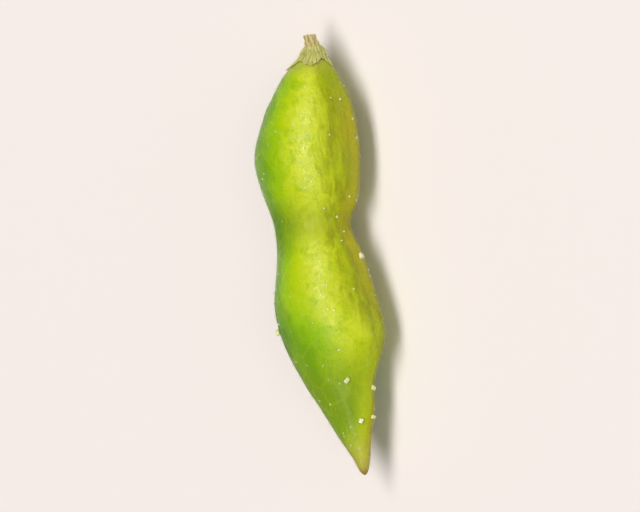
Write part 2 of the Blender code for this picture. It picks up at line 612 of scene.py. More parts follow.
class SkinShader(Shader):
    """The skin's material, with the numbers on the mesh that place its zones.

    "along" runs from 0 at the stalk end to 1 at the beak's tip, "round" from 0 at the inner seam to 1 at the
    outer one, and "from_waist" is how far "along" is from the waist.
    """

    def __init__(self, name: str, waist: float) -> None:
        """Reads the numbers. Over the second bean the zones of "round" slant towards the inner seam.

        Args:
            name: The material's name.
            waist: Where the waist is on "along".
        """
        super().__init__(name)
        self.along = self.attribute("along")
        # The slant carries the colour zones, and the painted highlight and painted shade with them, to where
        # the light falls over the second bean.
        slant = self.fade(self.along, none=0.50, full=0.68, amount=0.13)
        slant = self.times(slant, self.fade(self.along, none=0.90, full=0.76))
        self.round = self.sum(Sum.PLUS, self.attribute("round"), slant)
        self.from_waist = self.sum(Sum.UNSIGNED, self.sum(Sum.MINUS, self.along, waist))


@dataclass(frozen=True)
class SkinFinish:
    """The wet, waxy skin: green on the outer side, yellow over the beans and olive along the inner seam,
    with a painted highlight over the beans and painted shade on the outer side, about the waist and towards
    the beak.
    """

    # The skin's own olive, yellow and green round the section, darkened towards the outer seam (round 0.76
    # to 1) as painted shade.
    round_colours: Stops = (
        (0.00, "#b4b014"),
        (0.09, "#b4b20c"),
        (0.17, "#aaae08"),
        (0.23, "#aebd08"),
        (0.38, "#bcd008"),
        (0.52, "#b0cd00"),
        (0.64, "#97c200"),
        (0.76, "#70a400"),
        (1.00, "#528200"),
    )
    waist: float = 0.40
    # Painted shade across the middle of the waist.
    waist_shade_colour: str = "#acb90a"
    notch_colour: str = "#8a8018"
    # The skin's leafy green, also used as painted shade towards the beak and at the waist.
    leaf_and_shade_colour: str = "#789802"
    # A deeper green, partly painted shade on the outer side of the waist.
    deep_green_and_shade_colour: str = "#588800"
    # The pale veins' colour, also the painted highlight over the beans.
    pale_vein_and_highlight_colour: str = "#d0dc2c"
    margin_colour: str = "#8c9206"
    beak_colour: str = "#b3a545"
    tip_colour: str = "#8d6f35"
    fresh_colour: str = "#9ab008"
    collar_colour: str = "#b2b24c"

    def make(self) -> bpy.types.Material:
        """Builds the material.

        Returns:
            The material.
        """
        s = SkinShader("pod_skin", self.waist)
        colour = self.ground(s)
        colour = self.flecks(s, colour)
        colour = self.ends(s, colour)
        grain = s.noise(0.32 * MM, detail=3.0, rough=0.6)
        s.set(
            Base_Color=self.veins(s, colour),
            Roughness=self.roughness(s),
            Specular_IOR_Level=0.24,
            Normal=self.relief(s, grain),
            Subsurface_Weight=0.18,
            Subsurface_Radius=(0.9, 1.0, 0.05),
            Subsurface_Scale=1.2 * MM,
            Coat_Weight=0.05,
            Coat_Roughness=0.15,
            Coat_Normal=s.bump(grain, depth=0.02 * MM),
        )
        return s.material

    def ground(self, s: SkinShader) -> Socket:
        """The colours round the section, with painted shade towards the outer seam, about the waist and
        where the pod tapers to its beak.

        Args:
            s: The material.

        Returns:
            The colour.
        """
        drift = s.span(s.noise(7 * MM, detail=3.0), 0.3, 0.7, to_low=-0.07, to_high=0.07)
        colour = s.ramp(s.sum(Sum.PLUS, s.round, drift), self.round_colours)
        # Painted shade: a darker band across the middle of the waist, where the skin dips between the beans.
        waist = s.fade(s.from_waist, none=0.08, full=0.01, amount=0.8)
        waist = s.times(waist, s.band(s.round, rise=(0.16, 0.30), fall=(0.45, 0.60)))
        colour = s.tint(colour, self.waist_shade_colour, waist)
        notch = s.fade(s.from_waist, none=0.06, full=0.01, amount=0.4)
        notch = s.times(notch, s.fade(s.round, none=0.20, full=0.05))
        colour = s.tint(colour, self.notch_colour, notch)
        # Deeper green where the pod tapers to its beak and on the outer side of the waist: partly the skin's
        # own leafy green, partly painted shade.
        narrows_green_and_shade = s.fade(s.along, none=0.65, full=0.82, amount=0.9)
        narrows_green_and_shade = s.times(narrows_green_and_shade, s.fade(s.along, none=0.97, full=0.86))
        narrows_green_and_shade = s.times(narrows_green_and_shade, s.fade(s.round, none=0.12, full=0.45))
        saddle_green_and_shade = s.fade(s.from_waist, none=0.09, full=0.0, amount=0.9)
        saddle_green_and_shade = s.times(saddle_green_and_shade, s.fade(s.round, none=0.42, full=0.62))
        colour = s.tint(colour, self.leaf_and_shade_colour, s.sum(Sum.GREATER, narrows_green_and_shade, saddle_green_and_shade))
        # Painted shade on the outer side of the waist, in a deeper green that is partly the skin's own.
        outer_waist_green_and_shade = s.fade(s.from_waist, none=0.10, full=0.02, amount=0.8)
        outer_waist_green_and_shade = s.times(outer_waist_green_and_shade, s.fade(s.round, none=0.60, full=0.75))
        return s.tint(colour, self.deep_green_and_shade_colour, outer_waist_green_and_shade)

    def flecks(self, s: SkinShader, colour: Socket) -> Socket:
        """Adds the mottling, a painted highlight over the beans, the streaked margin and the seams' dark
        lines.

        Args:
            s: The material.
            colour: The colour so far.

        Returns:
            The colour.
        """
        mottle = s.noise(1.6 * MM, detail=4.0, rough=0.6, warp=0.6)
        # Painted highlight: pale, mottled colour over the crown of each bean, weaker at the waist and gone
        # towards the beak.
        painted_highlight = s.band(s.round, rise=(0.22, 0.36), fall=(0.44, 0.62))
        painted_highlight = s.times(painted_highlight, s.fade(s.along, none=0.76, full=0.62))
        painted_highlight = s.times(painted_highlight, s.span(s.from_waist, 0.015, 0.07, to_low=0.2, to_high=1.0))
        painted_highlight = s.times(painted_highlight, s.span(mottle, 0.38, 0.62, to_low=0.15, to_high=1.0))
        colour = s.tint(colour, self.pale_vein_and_highlight_colour, painted_highlight)
        colour = s.tint(colour, self.leaf_and_shade_colour, s.fade(mottle, none=0.48, full=0.25, amount=0.3))
        streak = s.noise(0.75 * MM, detail=4.0, rough=0.6, warp=0.3, at=s.stretched(1.0, 0.18, 1.0))
        margin = s.band(s.round, rise=(0.06, 0.16), fall=(0.24, 0.40))
        margin = s.times(margin, s.fade(s.along, none=0.80, full=0.66))
        margin = s.times(margin, s.fade(streak, none=0.40, full=0.64, amount=0.7))
        colour = s.tint(colour, self.margin_colour, margin)
        line = s.fade(s.attribute("seam"), none=0.45, full=0.1, amount=0.4)
        line = s.times(line, s.span(s.noise(1.1 * MM), 0.3, 0.6, to_low=0.4, to_high=1.0))
        return s.tint(colour, self.notch_colour, line)

    def ends(self, s: SkinShader, colour: Socket) -> Socket:
        """Adds the withered beak, the fresher skin near the stalk and the pale collar under the calyx.

        Args:
            s: The material.
            colour: The colour so far.

        Returns:
            The colour.
        """
        colour = s.tint(colour, self.beak_colour, s.fade(s.along, none=0.88, full=0.985, amount=0.85))
        colour = s.tint(colour, self.tip_colour, s.fade(s.along, none=0.975, full=1.0))
        fresh = s.fade(s.along, none=0.16, full=0.06, amount=0.7)
        fresh = s.times(fresh, s.fade(s.round, none=0.34, full=0.16))
        colour = s.tint(colour, self.fresh_colour, fresh)
        return s.tint(colour, self.collar_colour, s.fade(s.along, none=0.065, full=0.01, amount=0.7))

    def veins(self, s: SkinShader, colour: Socket) -> Socket:
        """Adds the faint pale net of veins.

        Args:
            s: The material.
            colour: The colour so far.

        Returns:
            The colour.
        """
        net = s.cells(2.3 * MM, Feature.BORDER, s.stretched(1.0, 0.55, 1.0))
        return s.tint(colour, self.pale_vein_and_highlight_colour, s.fade(net, none=0.09, full=0.0, amount=0.1))

    def roughness(self, s: SkinShader) -> Socket:
        """Wet patches, duller at the waist, towards the beak and on the outer side of the second bean.

        Args:
            s: The material.

        Returns:
            The roughness.
        """
        film = s.noise(0.8 * MM, detail=3.0, rough=0.6)
        wet = s.span(film, 0.38, 0.60, to_low=0.17, to_high=0.42)
        waist = s.fade(s.from_waist, none=0.08, full=0.02, amount=0.26)
        beak = s.fade(s.along, none=0.62, full=0.80, amount=0.28)
        outer = s.fade(s.along, none=0.52, full=0.62, amount=0.20)
        outer = s.times(outer, s.fade(s.round, none=0.44, full=0.56))
        dull = s.sum(Sum.GREATER, s.sum(Sum.GREATER, waist, beak), outer)
        return s.sum(Sum.PLUS, wet, dull)

    def relief(self, s: SkinShader, grain: Socket) -> Socket:
        """Fine grain and pits on soft lumps.

        Args:
            s: The material.
            grain: The finest noise.

        Returns:
            The direction of the surface.
        """
        pits = s.cells(0.42 * MM, Feature.MIDDLE)
        normal = s.bump(grain, depth=0.040 * MM)
        normal = s.bump(s.fade(pits, none=0.0, full=0.5), depth=0.025 * MM, under=normal)
        return s.bump(s.noise(0.9 * MM), depth=0.06 * MM, under=normal)


@dataclass(frozen=True)
class DryFinish:
    """Withered, fibrous plant skin, with painted shade in its furrows, blotched, and browner at its torn
    edges.
    """

    name: str
    body: str
    # The darker tone of the blotches, and the painted shade in the furrows.
    rib: str
    pale: str
    brown: str
    browning: float = 0.8
    rough: float = 0.7
    glow: float = 0.2

    def make(self) -> bpy.types.Material:
        """Builds the material.

        Returns:
            The material.
        """
        s = Shader(self.name)
        fibre = s.noise(0.16 * MM, detail=4.0, rough=0.65, warp=0.4, at=s.stretched(1.0, 0.14, 1.0))
        blotch = s.noise(0.9 * MM, detail=4.0, rough=0.6)
        freckle = s.cells(0.30 * MM, Feature.MIDDLE)
        colour = s.tint(linear(self.body), self.pale, s.fade(fibre, none=0.35, full=0.7, amount=0.7))
        # Painted shade: the furrows, where the mesh's "rib" number is high, are darkened.
        colour = s.tint(colour, self.rib, s.fade(s.attribute("rib"), none=0.3, full=1.0, amount=0.8))
        colour = s.tint(colour, self.rib, s.fade(blotch, none=0.50, full=0.72, amount=0.55))
        colour = s.tint(colour, self.pale, s.fade(blotch, none=0.45, full=0.25, amount=0.6))
        spots = s.fade(freckle, none=0.22, full=0.10)
        spots = s.times(spots, s.fade(blotch, none=0.40, full=0.60, amount=0.6))
        colour = s.tint(colour, self.brown, spots)
        edge = s.sum(Sum.PLUS, s.attribute("edge"), s.times(blotch, 0.5))
        colour = s.tint(colour, self.brown, s.fade(edge, none=0.8, full=1.35, amount=self.browning))
        s.set(
            Base_Color=colour,
            Roughness=s.span(fibre, 0.3, 0.7, to_low=self.rough - 0.15, to_high=self.rough + 0.12),
            Normal=s.bump(s.noise(0.08 * MM), depth=0.01 * MM, under=s.bump(fibre, depth=0.05 * MM)),
            Subsurface_Weight=self.glow,
            Subsurface_Radius=(1.0, 0.8, 0.4),
            Subsurface_Scale=0.8 * MM,
        )
        return s.material


@dataclass(frozen=True)
class HairFinish:
    """Fine pale hairs, greener at their roots."""

    colour: str = "#dcdb9c"
    root_colour: str = "#aebb3c"

    def make(self) -> bpy.types.Material:
        """Builds the material.

        Returns:
            The material.
        """
        s = Shader("pod_hair")
        pale = s.fade(s.attribute("tip"), none=0.0, full=0.6)
        colour = s.tint(linear(self.root_colour), self.colour, pale)
        s.set(Base_Color=colour, Roughness=0.45, Subsurface_Weight=0.1, Subsurface_Scale=0.3 * MM)
        return s.material


@dataclass(frozen=True)
class SaltFinish:
    """Milky, half melted salt that lets some of the skin's colour through."""

    colour: str = "#f4f4d0"
    clear: str = "#d6e088"

    def make(self) -> bpy.types.Material:
        """Builds the material.

        Returns:
            The material.
        """
        s = Shader("salt")
        cloud = s.noise(0.3 * MM, detail=3.0, rough=0.6)
        s.set(
            Base_Color=s.tint(linear(self.clear), self.colour, s.fade(cloud, none=0.35, full=0.65)),
            Roughness=s.span(cloud, 0.3, 0.7, to_low=0.10, to_high=0.35),
            Normal=s.bump(cloud, depth=0.02 * MM),
            IOR=1.54,
            Subsurface_Weight=0.6,
            Subsurface_Radius=(1.0, 1.0, 0.8),
            Subsurface_Scale=0.5 * MM,
        )
        return s.material


@dataclass(frozen=True)
class FloorFinish:
    """A plain, matt, warm white surface."""

    colour: str = "#f2ebe8"

    def make(self) -> bpy.types.Material:
        """Builds the material.

        Returns:
            The material.
        """
        s = Shader("pale_floor")
        s.set(Base_Color=linear(self.colour), Roughness=0.75)
        return s.material


# ---------------------------------------------------------------------------------------------------------
# Pieces
# ---------------------------------------------------------------------------------------------------------


@dataclass(frozen=True)
class Ridge:
    """A ridge that runs beside a seam, or a valley where its height is below 0."""

    height: float
    width: float
    away: float = 0.0

    def rise(self, distance: float) -> float:
        """How far it lifts the skin at a distance from the seam."""
        return self.height * bell(distance - self.away, self.width)


@dataclass(frozen=True)
class Lumps:
    """Soft random lumps of about one size."""

    height: float
    width: float
    offset: float = 0.0

    def rise(self, at: Vector) -> float:
        """How far they lift the skin at a point."""
        return self.height * noise.noise(at / self.width + Vector((self.offset, 0, 0)))


@dataclass
class Skin:
    """The pod itself: shell, seams, beak and the beans' swellings in one closed piece.

    Its relief fades over calm_ends at the two ends, where the seams keep end_seam of their height.
    """

    shape: PodShape
    sides: int = 248
    rings: int = 384
    seam_crowding: float = 0.45
    end_crowding: float = 0.2
    inner_seam: tuple[Ridge, ...] = (
        Ridge(0.14 * MM, 0.50 * MM),
        Ridge(-0.08 * MM, 0.17 * MM),
        Ridge(-0.06 * MM, 0.45 * MM, away=1.45 * MM),
    )
    outer_seam: tuple[Ridge, ...] = (
        Ridge(0.16 * MM, 0.30 * MM),
        Ridge(-0.036 * MM, 0.40 * MM, away=1.0 * MM),
    )
    undulation: Lumps = Lumps(0.12 * MM, 6.5 * MM)
    dimples: Lumps = Lumps(0.03 * MM, 2.1 * MM, offset=5)
    pebbles: Lumps = Lumps(0.012 * MM, 0.75 * MM)
    calm_ends: tuple[float, float] = (3 * MM, 5 * MM)
    end_seam: float = 0.25
    vein_height: float = 0.022 * MM
    vein_spacing: float = 2.6 * MM
    vein_width: float = 0.07
    vein_margin: tuple[float, float] = (0.8 * MM, 2.0 * MM)
    vein_slant: tuple[float, float, float] = (0.5, 0.45, -0.6)
    crease_depth: float = 0.16 * MM
    crease_spread: float = 2.6 * MM
    crease_pitch: float = 0.62 * MM
    crease_wander: float = 2.0
    crease_bend: float = 2 * MM
    crease_side: tuple[float, float] = (0.1, 0.95)
    resting_edge: float = 0.12 * MM
    resting_sink: float = 0.02 * MM

    def build(self, material: bpy.types.Material) -> bpy.types.Object:
        """Makes the skin's mesh and marks it for its finish.

        Args:
            material: The skin's finish.

        Returns:
            The skin.
        """
        bm = sphere_grid(self.sides, self.rings)
        layers = [bm.verts.layers.float.new(name) for name in ("round", "along", "seam")]
        places = []
        for vert in bm.verts:
            run, turn = sphere_place(vert)
            along = self.along(round(run * self.rings) / self.rings)
            turn -= self.seam_crowding * math.sin(2 * turn) / 2
            places.append((along, turn))
            vert.co = self.shape.point(along, turn)
        bm.normal_update()
        for vert, (along, turn) in zip(bm.verts, places):
            vert.co += vert.normal * self.relief(vert.co, along, turn)
            vert.co.z = self.pressed(vert.co.z)
            share = (along - self.shape.start) / (self.shape.end - self.shape.start)
            marks = (abs(turn) / math.pi, share, self.seam_distance(along, turn) / MM)
            for layer, value in zip(layers, marks):
                vert[layer] = value
        piece = publish("pod_skin", bm, material, Slot.SKIN)
        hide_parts("pod")
        return piece

    def along(self, run: float) -> float:
        """How far along the pod a run of the grid lies: the rings are closer at the two ends."""
        eased = (1 - self.end_crowding) * run + self.end_crowding * (1 - math.cos(math.pi * run)) / 2
        return self.shape.at_share(eased)

    def seam_distance(self, along: float, turn: float) -> float:
        """How far a point lies from the nearer seam, over the skin."""
        return self.shape.section(along).thick / 2 * abs(math.sin(turn))

    def pressed(self, height: float) -> float:
        """Flattens the soft shell where it rests, with a soft edge to the flat.

        Args:
            height: A point's height over the floor.

        Returns:
            Its height when the pod rests.
        """
        soft = self.resting_edge
        if height >= soft:
            return height
        return max(0.0, soft * math.exp((height - soft) / soft) - self.resting_sink)

    def relief(self, at: Vector, along: float, turn: float) -> float:
        """The skin's own relief over the plain shape.

        Args:
            at: The point on the plain shape.
            along: Its distance along the pod.
            turn: Its place round the section.

        Returns:
            How far the skin stands out, which is negative in a valley.
        """
        shape = self.shape
        away = self.seam_distance(along, turn)
        first, last = self.calm_ends
        fade = ease(along, shape.start, shape.start + first) * ease(shape.end - along, 0.0, last)
        seam = self.inner_seam if math.cos(turn) > 0 else self.outer_seam
        height = sum(ridge.rise(away) for ridge in seam) * (self.end_seam + (1 - self.end_seam) * fade)
        height += self.undulation.rise(at) * fade
        height += self.dimples.rise(at) * fade
        height += self.pebbles.rise(at)
        height += self.vein(at) * fade * ease(away, *self.vein_margin)
        return height + self.crease(at, along, turn)

    def vein(self, at: Vector) -> float:
        """The raised net of veins, which runs aslant across the pod.

        Args:
            at: The point on the plain shape.

        Returns:
            How far the skin stands out there.
        """
        lean, stretch, skew = self.vein_slant
        slant = Vector((at.x + lean * at.y, stretch * at.y + skew * at.x, at.z)) / self.vein_spacing
        return self.vein_height * max(0.0, 1 - abs(noise.noise(slant)) / self.vein_width)

    def crease(self, at: Vector, along: float, turn: float) -> float:
        """Short folds that fan out from the hollow side of the waist.

        Args:
            at: The point on the plain shape.
            along: Its distance along the pod.
            turn: Its place round the section.

        Returns:
            How far the skin stands out there, which is never above 0.
        """
        near = bell(along - self.shape.waist, self.crease_spread) * ease(math.cos(turn), *self.crease_side)
        phase = along / self.crease_pitch + self.crease_wander * noise.noise(at / self.crease_bend)
        return -self.crease_depth * near * (0.5 + 0.5 * math.sin(phase))

    def surface(self, along: float, turn: float) -> Footing:
        """A point on the finished skin, and the outward direction there."""
        at, normal = self.shape.point(along, turn), self.shape.normal(along, turn)
        return at + normal * self.relief(at, along, turn), normal


@dataclass
class Calyx:
    """The withered cup round the stalk end, torn into five uneven sepals that curl off the skin."""

    shape: PodShape
    sides: int = 300
    rings: int = 120
    wall: float = 0.13 * MM
    thinning: float = 0.7
    clearance: float = 0.03 * MM
    off_skin: float = 0.01 * MM
    floor_depth: float = 1.15 * MM
    lining_depth: float = 0.04 * MM
    floor_radius: float = 1.62 * MM
    flatness: float = 0.30
    taper: float = 0.62 * MM
    cup: float = 0.65 * MM
    sepals: tuple[float, ...] = (1.2 * MM, 1.0 * MM, 1.05 * MM, 0.9 * MM, 1.15 * MM)
    unevenness: float = 0.12
    tear: float = 0.25 * MM
    fine_tear: float = 0.08 * MM
    curl: float = 0.10 * MM
    buckle: float = 0.08 * MM
    wrinkle: float = 0.045 * MM
    wrinkles: tuple[int, int] = (27, 61)
    vein: float = 0.05 * MM
    midrib_width: float = 0.10
    side_vein: float = 0.42
    side_vein_width: float = 0.08

    def sepal(self, turn: float) -> tuple[int, float]:
        """Which sepal a turn belongs to, and how far from its midrib it is: 1 at the gap beside it."""
        place = turn / math.tau * len(self.sepals) + self.unevenness * math.sin(turn * 2)
        return round(place) % len(self.sepals), abs(place - round(place)) * 2

    def tooth(self, turn: float) -> tuple[float, float]:
        """The rim at a turn: how far up its sepal it is, from 0 to 1, and how long that sepal is."""
        number, aside = self.sepal(turn)
        return (1 - aside) * (1 - aside**2) ** 0.3, self.sepals[number]

    def reach(self, turn: float) -> float:
        """How far along the pod the ragged rim lies.

        Args:
            turn: The place round the section.

        Returns:
            The distance along.
        """
        height, length = self.tooth(turn)
        around = Vector((math.cos(turn), math.sin(turn), 0))
        ragged = noise.noise(around * 5) * self.tear + noise.noise(around * 21) * self.fine_tear
        return self.shape.start + self.cup + length * height + ragged

    def point(self, run: float, turn: float) -> tuple[Vector, float]:
        """A point of the calyx: run goes from the base up the outside and back down the inside.

        Args:
            run: 0 at the middle of the base outside, 0.5 at the rim, 1 at the middle of the base inside.
            turn: The place round the section.

        Returns:
            The point, and how near the rim it is, from 0 to 1.
        """
        start = self.shape.start
        outside = run <= 0.5
        depth = 2 * run if outside else 2 * (1 - run)
        floor = start - (self.floor_depth if outside else self.lining_depth)
        wall = self.clearance + (self.wall * (1 - self.thinning * depth) if outside else 0.0)
        along = floor + depth * (self.reach(turn) - floor)
        on_pod = max(along, start)
        spoke = self.shape.point(on_pod, turn, proud=self.off_skin) - self.shape.axis(on_pod)
        least = self.floor_radius * (1 - self.flatness * math.sin(turn) ** 2) if outside else wall
        fold = self.folds(turn, along) * ease(along, floor, start)
        radius = (spoke.length**4 + least**4) ** 0.25 + wall + fold
        radius += self.curl * depth**3 * self.tooth(turn)[0]
        radius += self.buckle * noise.noise(Vector((turn * 1.6, along / MM, 7))) * depth
        short_of_pod = max(0.0, start - along) / (start - floor)
        radius -= self.taper * short_of_pod
        closing = math.sqrt(max(0.0, 1 - short_of_pod**6))
        return self.shape.axis(along) + spoke.normalized() * radius * closing, depth

    def folds(self, turn: float, along: float) -> float:
        """Midribs, side veins and the wrinkles of drying, all running lengthwise.

        Args:
            turn: The place round the section.
            along: The distance along the pod.

        Returns:
            How far the outside stands out.
        """
        aside = self.sepal(turn)[1]
        wander = noise.noise(Vector((math.cos(turn) * 3, math.sin(turn) * 3, along / MM * 0.8)))
        ribs = bell(aside, self.midrib_width) + 0.5 * bell(aside - self.side_vein, self.side_vein_width)
        broad, fine = self.wrinkles
        creases = math.sin(turn * broad + 4 * wander) + 0.5 * math.sin(turn * fine + 7 * wander)
        return self.vein * ribs + self.wrinkle * creases

    def build(self, material: bpy.types.Material) -> bpy.types.Object:
        """Makes the calyx and marks it for its finish.

        Args:
            material: Its finish.

        Returns:
            The calyx.
        """
        bm = sphere_grid(self.sides, self.rings)
        rib, edge = bm.verts.layers.float.new("rib"), bm.verts.layers.float.new("edge")
        for vert in bm.verts:
            run, turn = sphere_place(vert)
            vert.co, depth = self.point(run, turn)
            # The "rib" number rises in the furrows between the folds, where the finish paints shade.
            vert[rib] = 0.5 - self.folds(turn, self.shape.start + depth * MM) / self.wrinkle / 3
            vert[edge] = depth**2 * (0.35 + 0.65 * self.tooth(turn)[0])
        piece = publish("calyx_cup", bm, material, Slot.CALYX)
        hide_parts("calyx")
        return piece


@dataclass
class Hairs:
    """The sparse down on the skin, combed towards the beak and half stuck down, and more on the calyx."""

    skin: Skin
    calyx: Calyx
    count: int = 2600
    calyx_count: int = 300
    skin_part: tuple[float, float] = (0.04, 0.985)
    calyx_part: tuple[float, float] = (0.10, 0.47)
    seam_crowding: float = 0.25
    length: tuple[float, float] = (0.25 * MM, 0.75 * MM)
    lean: tuple[float, float] = (30, 80)
    bend: tuple[float, float] = (0.0, 0.35)
    stray: float = 0.45
    droop: float = 0.3
    thickness: float = 0.013 * MM
    thickness_share: tuple[float, float] = (0.7, 1.3)
    sunk: float = 0.05 * MM

    def build(self, material: bpy.types.Material) -> bpy.types.Object:
        """Makes all the hairs as one piece, with none where they would meet the floor.

        Args:
            material: Their finish.

        Returns:
            The hairs.
        """
        pick = random.Random(11)
        strand = self.strand()
        bm = bmesh.new()
        bm.verts.layers.float.new("tip")
        held = bpy.data.meshes.new("hair")
        for place in [self.on_skin] * self.count + [self.on_calyx] * self.calyx_count:
            at, normal = place(pick)
            if at.z > self.length[1]:
                graft(bm, self.hair(strand, at, normal, pick), held)
        strand.free()
        bpy.data.meshes.remove(held)
        return publish("pod_hairs", bm, material, Slot.SKIN)

    def on_skin(self, pick: random.Random) -> Footing:
        """A chance place on the skin, more often near the seams.

        Args:
            pick: The source of chance.

        Returns:
            The place, and the outward direction there.
        """
        along = self.skin.shape.at_share(pick.uniform(*self.skin_part))
        turn = pick.uniform(-math.pi, math.pi)
        turn -= self.seam_crowding * math.sin(2 * turn)
        return self.skin.surface(along, turn)

    def on_calyx(self, pick: random.Random) -> Footing:
        """A chance place on the outside of the calyx.

        Args:
            pick: The source of chance.

        Returns:
            The place, and the outward direction there.
        """
        run, turn = pick.uniform(*self.calyx_part), pick.uniform(-math.pi, math.pi)
        at = self.calyx.point(run, turn)[0]
        forward = self.calyx.point(run + 0.02, turn)[0] - at
        sideways = self.calyx.point(run, turn + 0.05)[0] - at
        return at, sideways.cross(forward).normalized()

    def strand(self) -> bmesh.types.BMesh:
        """A straight tapering hair of length 1 and radius 1, cut into four along its length.

        Returns:
            The hair, with its foot at the origin.
        """
        bm = bmesh.new()
        bmesh.ops.create_cone(
            bm,
            cap_ends=True,
            segments=3,
            radius1=1.0,
            radius2=0.2,
            depth=1.0,
            matrix=Matrix.Translation((0, 0, 0.5)),
        )
        long_edges = [edge for edge in bm.edges if abs(edge.verts[0].co.z - edge.verts[1].co.z) > 0.5]
        bmesh.ops.subdivide_edges(bm, edges=long_edges, cuts=3, use_grid_fill=True)
        bm.verts.layers.float.new("tip")
        return bm

    def hair(
        self, strand: bmesh.types.BMesh, at: Vector, normal: Vector, pick: random.Random
    ) -> bmesh.types.BMesh:
        """One bent, tapering hair.

        Args:
            strand: The straight hair to copy.
            at: Where it leaves the surface.
            normal: The outward direction of the surface there.
            pick: The source of its chance variation.

        Returns:
            The hair, with a layer that tells its root from its tip.
        """
        length = pick.uniform(*self.length) + self.sunk
        comb = Vector((pick.gauss(0, self.stray), -1, pick.gauss(0, self.stray)))
        flow = (comb - normal * comb.dot(normal)).normalized()
        lean = math.radians(pick.uniform(*self.lean))
        rise = normal * math.cos(lean) + flow * math.sin(lean)
        facing = rise.to_track_quat("Z", "Y").to_matrix()
        thick = self.thickness * pick.uniform(*self.thickness_share)
        bend = (flow - normal * self.droop) * pick.uniform(*self.bend)
        root = at - normal * self.sunk
        bm = strand.copy()
        tip = bm.verts.layers.float["tip"]
        for vert in bm.verts:
            height = vert.co.z
            across = facing @ Vector((vert.co.x * thick, vert.co.y * thick, 0))
            vert.co = root + across + (rise * height + bend * height**2) * length
            vert[tip] = height
        return bm


@dataclass
class Stalk:
    """The stub of stalk: shrivelled into uneven ribs, a little bent, and torn off at its end.

    Its low and high are the corners of its solid's box.
    """

    shape: PodShape
    low: Vector
    high: Vector
    buried: float = 0.45 * MM
    end_gap: float = 0.05 * MM
    sides: int = 144
    rings: int = 72
    face: float = 0.25
    sole: float = 0.08
    side: tuple[float, float] = (0.12, 0.96)
    radius: float = 0.74 * MM
    flare: float = 0.22 * MM
    knuckle: float = 0.10 * MM
    knuckle_place: tuple[float, float] = (0.45, 0.14)
    end_swell: float = 0.07 * MM
    rib_depth: float = 0.09 * MM
    ribs: int = 7
    lean: float = 0.25 * MM
    torn_depth: float = 0.10 * MM
    torn_width: float = 0.35 * MM
    hollow: float = 0.12 * MM
    fibres: int = 12
    fibre_length: tuple[float, float] = (0.12 * MM, 0.32 * MM)
    fibre_radius: tuple[float, float] = (0.035 * MM, 0.008 * MM)
    fibre_root: float = 0.12 * MM

    def centre(self, height: float) -> Vector:
        """The middle of the stub, which leans a little more the higher it is.

        Args:
            height: The height, from 0 at its foot to 1 at its torn end.

        Returns:
            The middle there.
        """
        middle = self.shape.axis(self.shape.start)
        foot, tip = self.low.y - self.buried, self.high.y - self.end_gap
        return Vector((middle.x - self.lean * height**2, foot + height * (tip - foot), middle.z))

    def ribbing(self, turn: float, height: float) -> float:
        """The shrivelled relief round the stub.

        Args:
            turn: The place round it.
            height: The height, from 0 at its foot to 1 at its torn end.

        Returns:
            How far it stands out.
        """
        wander = 0.8 * noise.noise(Vector((math.cos(turn), math.sin(turn), height * 1.5)) * 1.3)
        rib = math.cos(self.ribs * turn + wander * 3)
        fine = noise.noise(Vector((math.cos(turn) * 4, math.sin(turn) * 4, height * 1.2)))
        return self.rib_depth * (0.6 * rib + 0.8 * fine)

    def build(self, material: bpy.types.Material) -> bpy.types.Object:
        """Makes the stub and marks it for its finish.

        Args:
            material: Its finish.

        Returns:
            The stub.
        """
        bm = sphere_grid(self.sides, self.rings)
        rib, edge = bm.verts.layers.float.new("rib"), bm.verts.layers.float.new("edge")
        middle, spread = self.knuckle_place
        for vert in bm.verts:
            run, turn = sphere_place(vert)
            height = 1 - ease(run, *self.side)
            at_end = run < self.face
            across = min(1.0, run / self.face) if at_end else min(1.0, (1 - run) / self.sole)
            relief = self.ribbing(turn, height)
            swelling = self.flare * (1 - height) ** 2 + self.knuckle * bell(height - middle, spread)
            swelling += self.end_swell * ease(height, 0.6, 1.0)
            radius = (self.radius + swelling + relief) * math.sqrt(1 - (1 - across) ** 2)
            on_face = Vector((radius * math.cos(turn), radius * math.sin(turn), 0))
            torn = noise.noise(on_face / self.torn_width)
            vert.co = self.centre(height) + Vector((math.cos(turn), 0, math.sin(turn))) * radius
            if at_end:
                vert.co.y += self.torn_depth * torn * (1 - across**6) - self.hollow * (1 - across) ** 2
            # The "rib" number rises in the furrows and towards the middle of the torn end's hollow, where
            # the finish paints shade.
            vert[rib] = 0.5 - relief / self.rib_depth / 2 + (0.3 * (1 - across) if at_end else 0.0)
            vert[edge] = 0.35 * height**6 * across
        self.fray(bm, rib, edge)
        bm.normal_update()
        piece = publish("stalk_stub", bm, material, Slot.STALK)
        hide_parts("stalk")
        return piece

    def fray(self, bm: bmesh.types.BMesh, rib: object, edge: object) -> None:
        """Adds the fibres that stick out of the torn end.

        Args:
            bm: The stub.
            rib: Its layer for the painted shade of furrows.
            edge: Its layer for torn edges.
        """
        pick = random.Random(3)
        end = self.centre(1.0)
        foot_radius, tip_radius = self.fibre_radius
        for _ in range(self.fibres):
            turn = pick.uniform(0, math.tau)
            out = Vector((math.cos(turn), 0, math.sin(turn)))
            way = (Vector((0, 1, 0)) + out * pick.uniform(0.0, 0.5)).normalized()
            length = pick.uniform(*self.fibre_length)
            at = end + out * self.radius * pick.uniform(0.3, 0.9) + way * (length / 2 - self.fibre_root)
            facing = way.to_track_quat("Z", "Y").to_matrix().to_4x4()
            made = bmesh.ops.create_cone(
                bm,
                cap_ends=True,
                segments=5,
                radius1=foot_radius,
                radius2=tip_radius,
                depth=length,
                matrix=Matrix.Translation(at) @ facing,
            )
            for vert in made["verts"]:
                vert[rib] = 0.3
                vert[edge] = 0.6


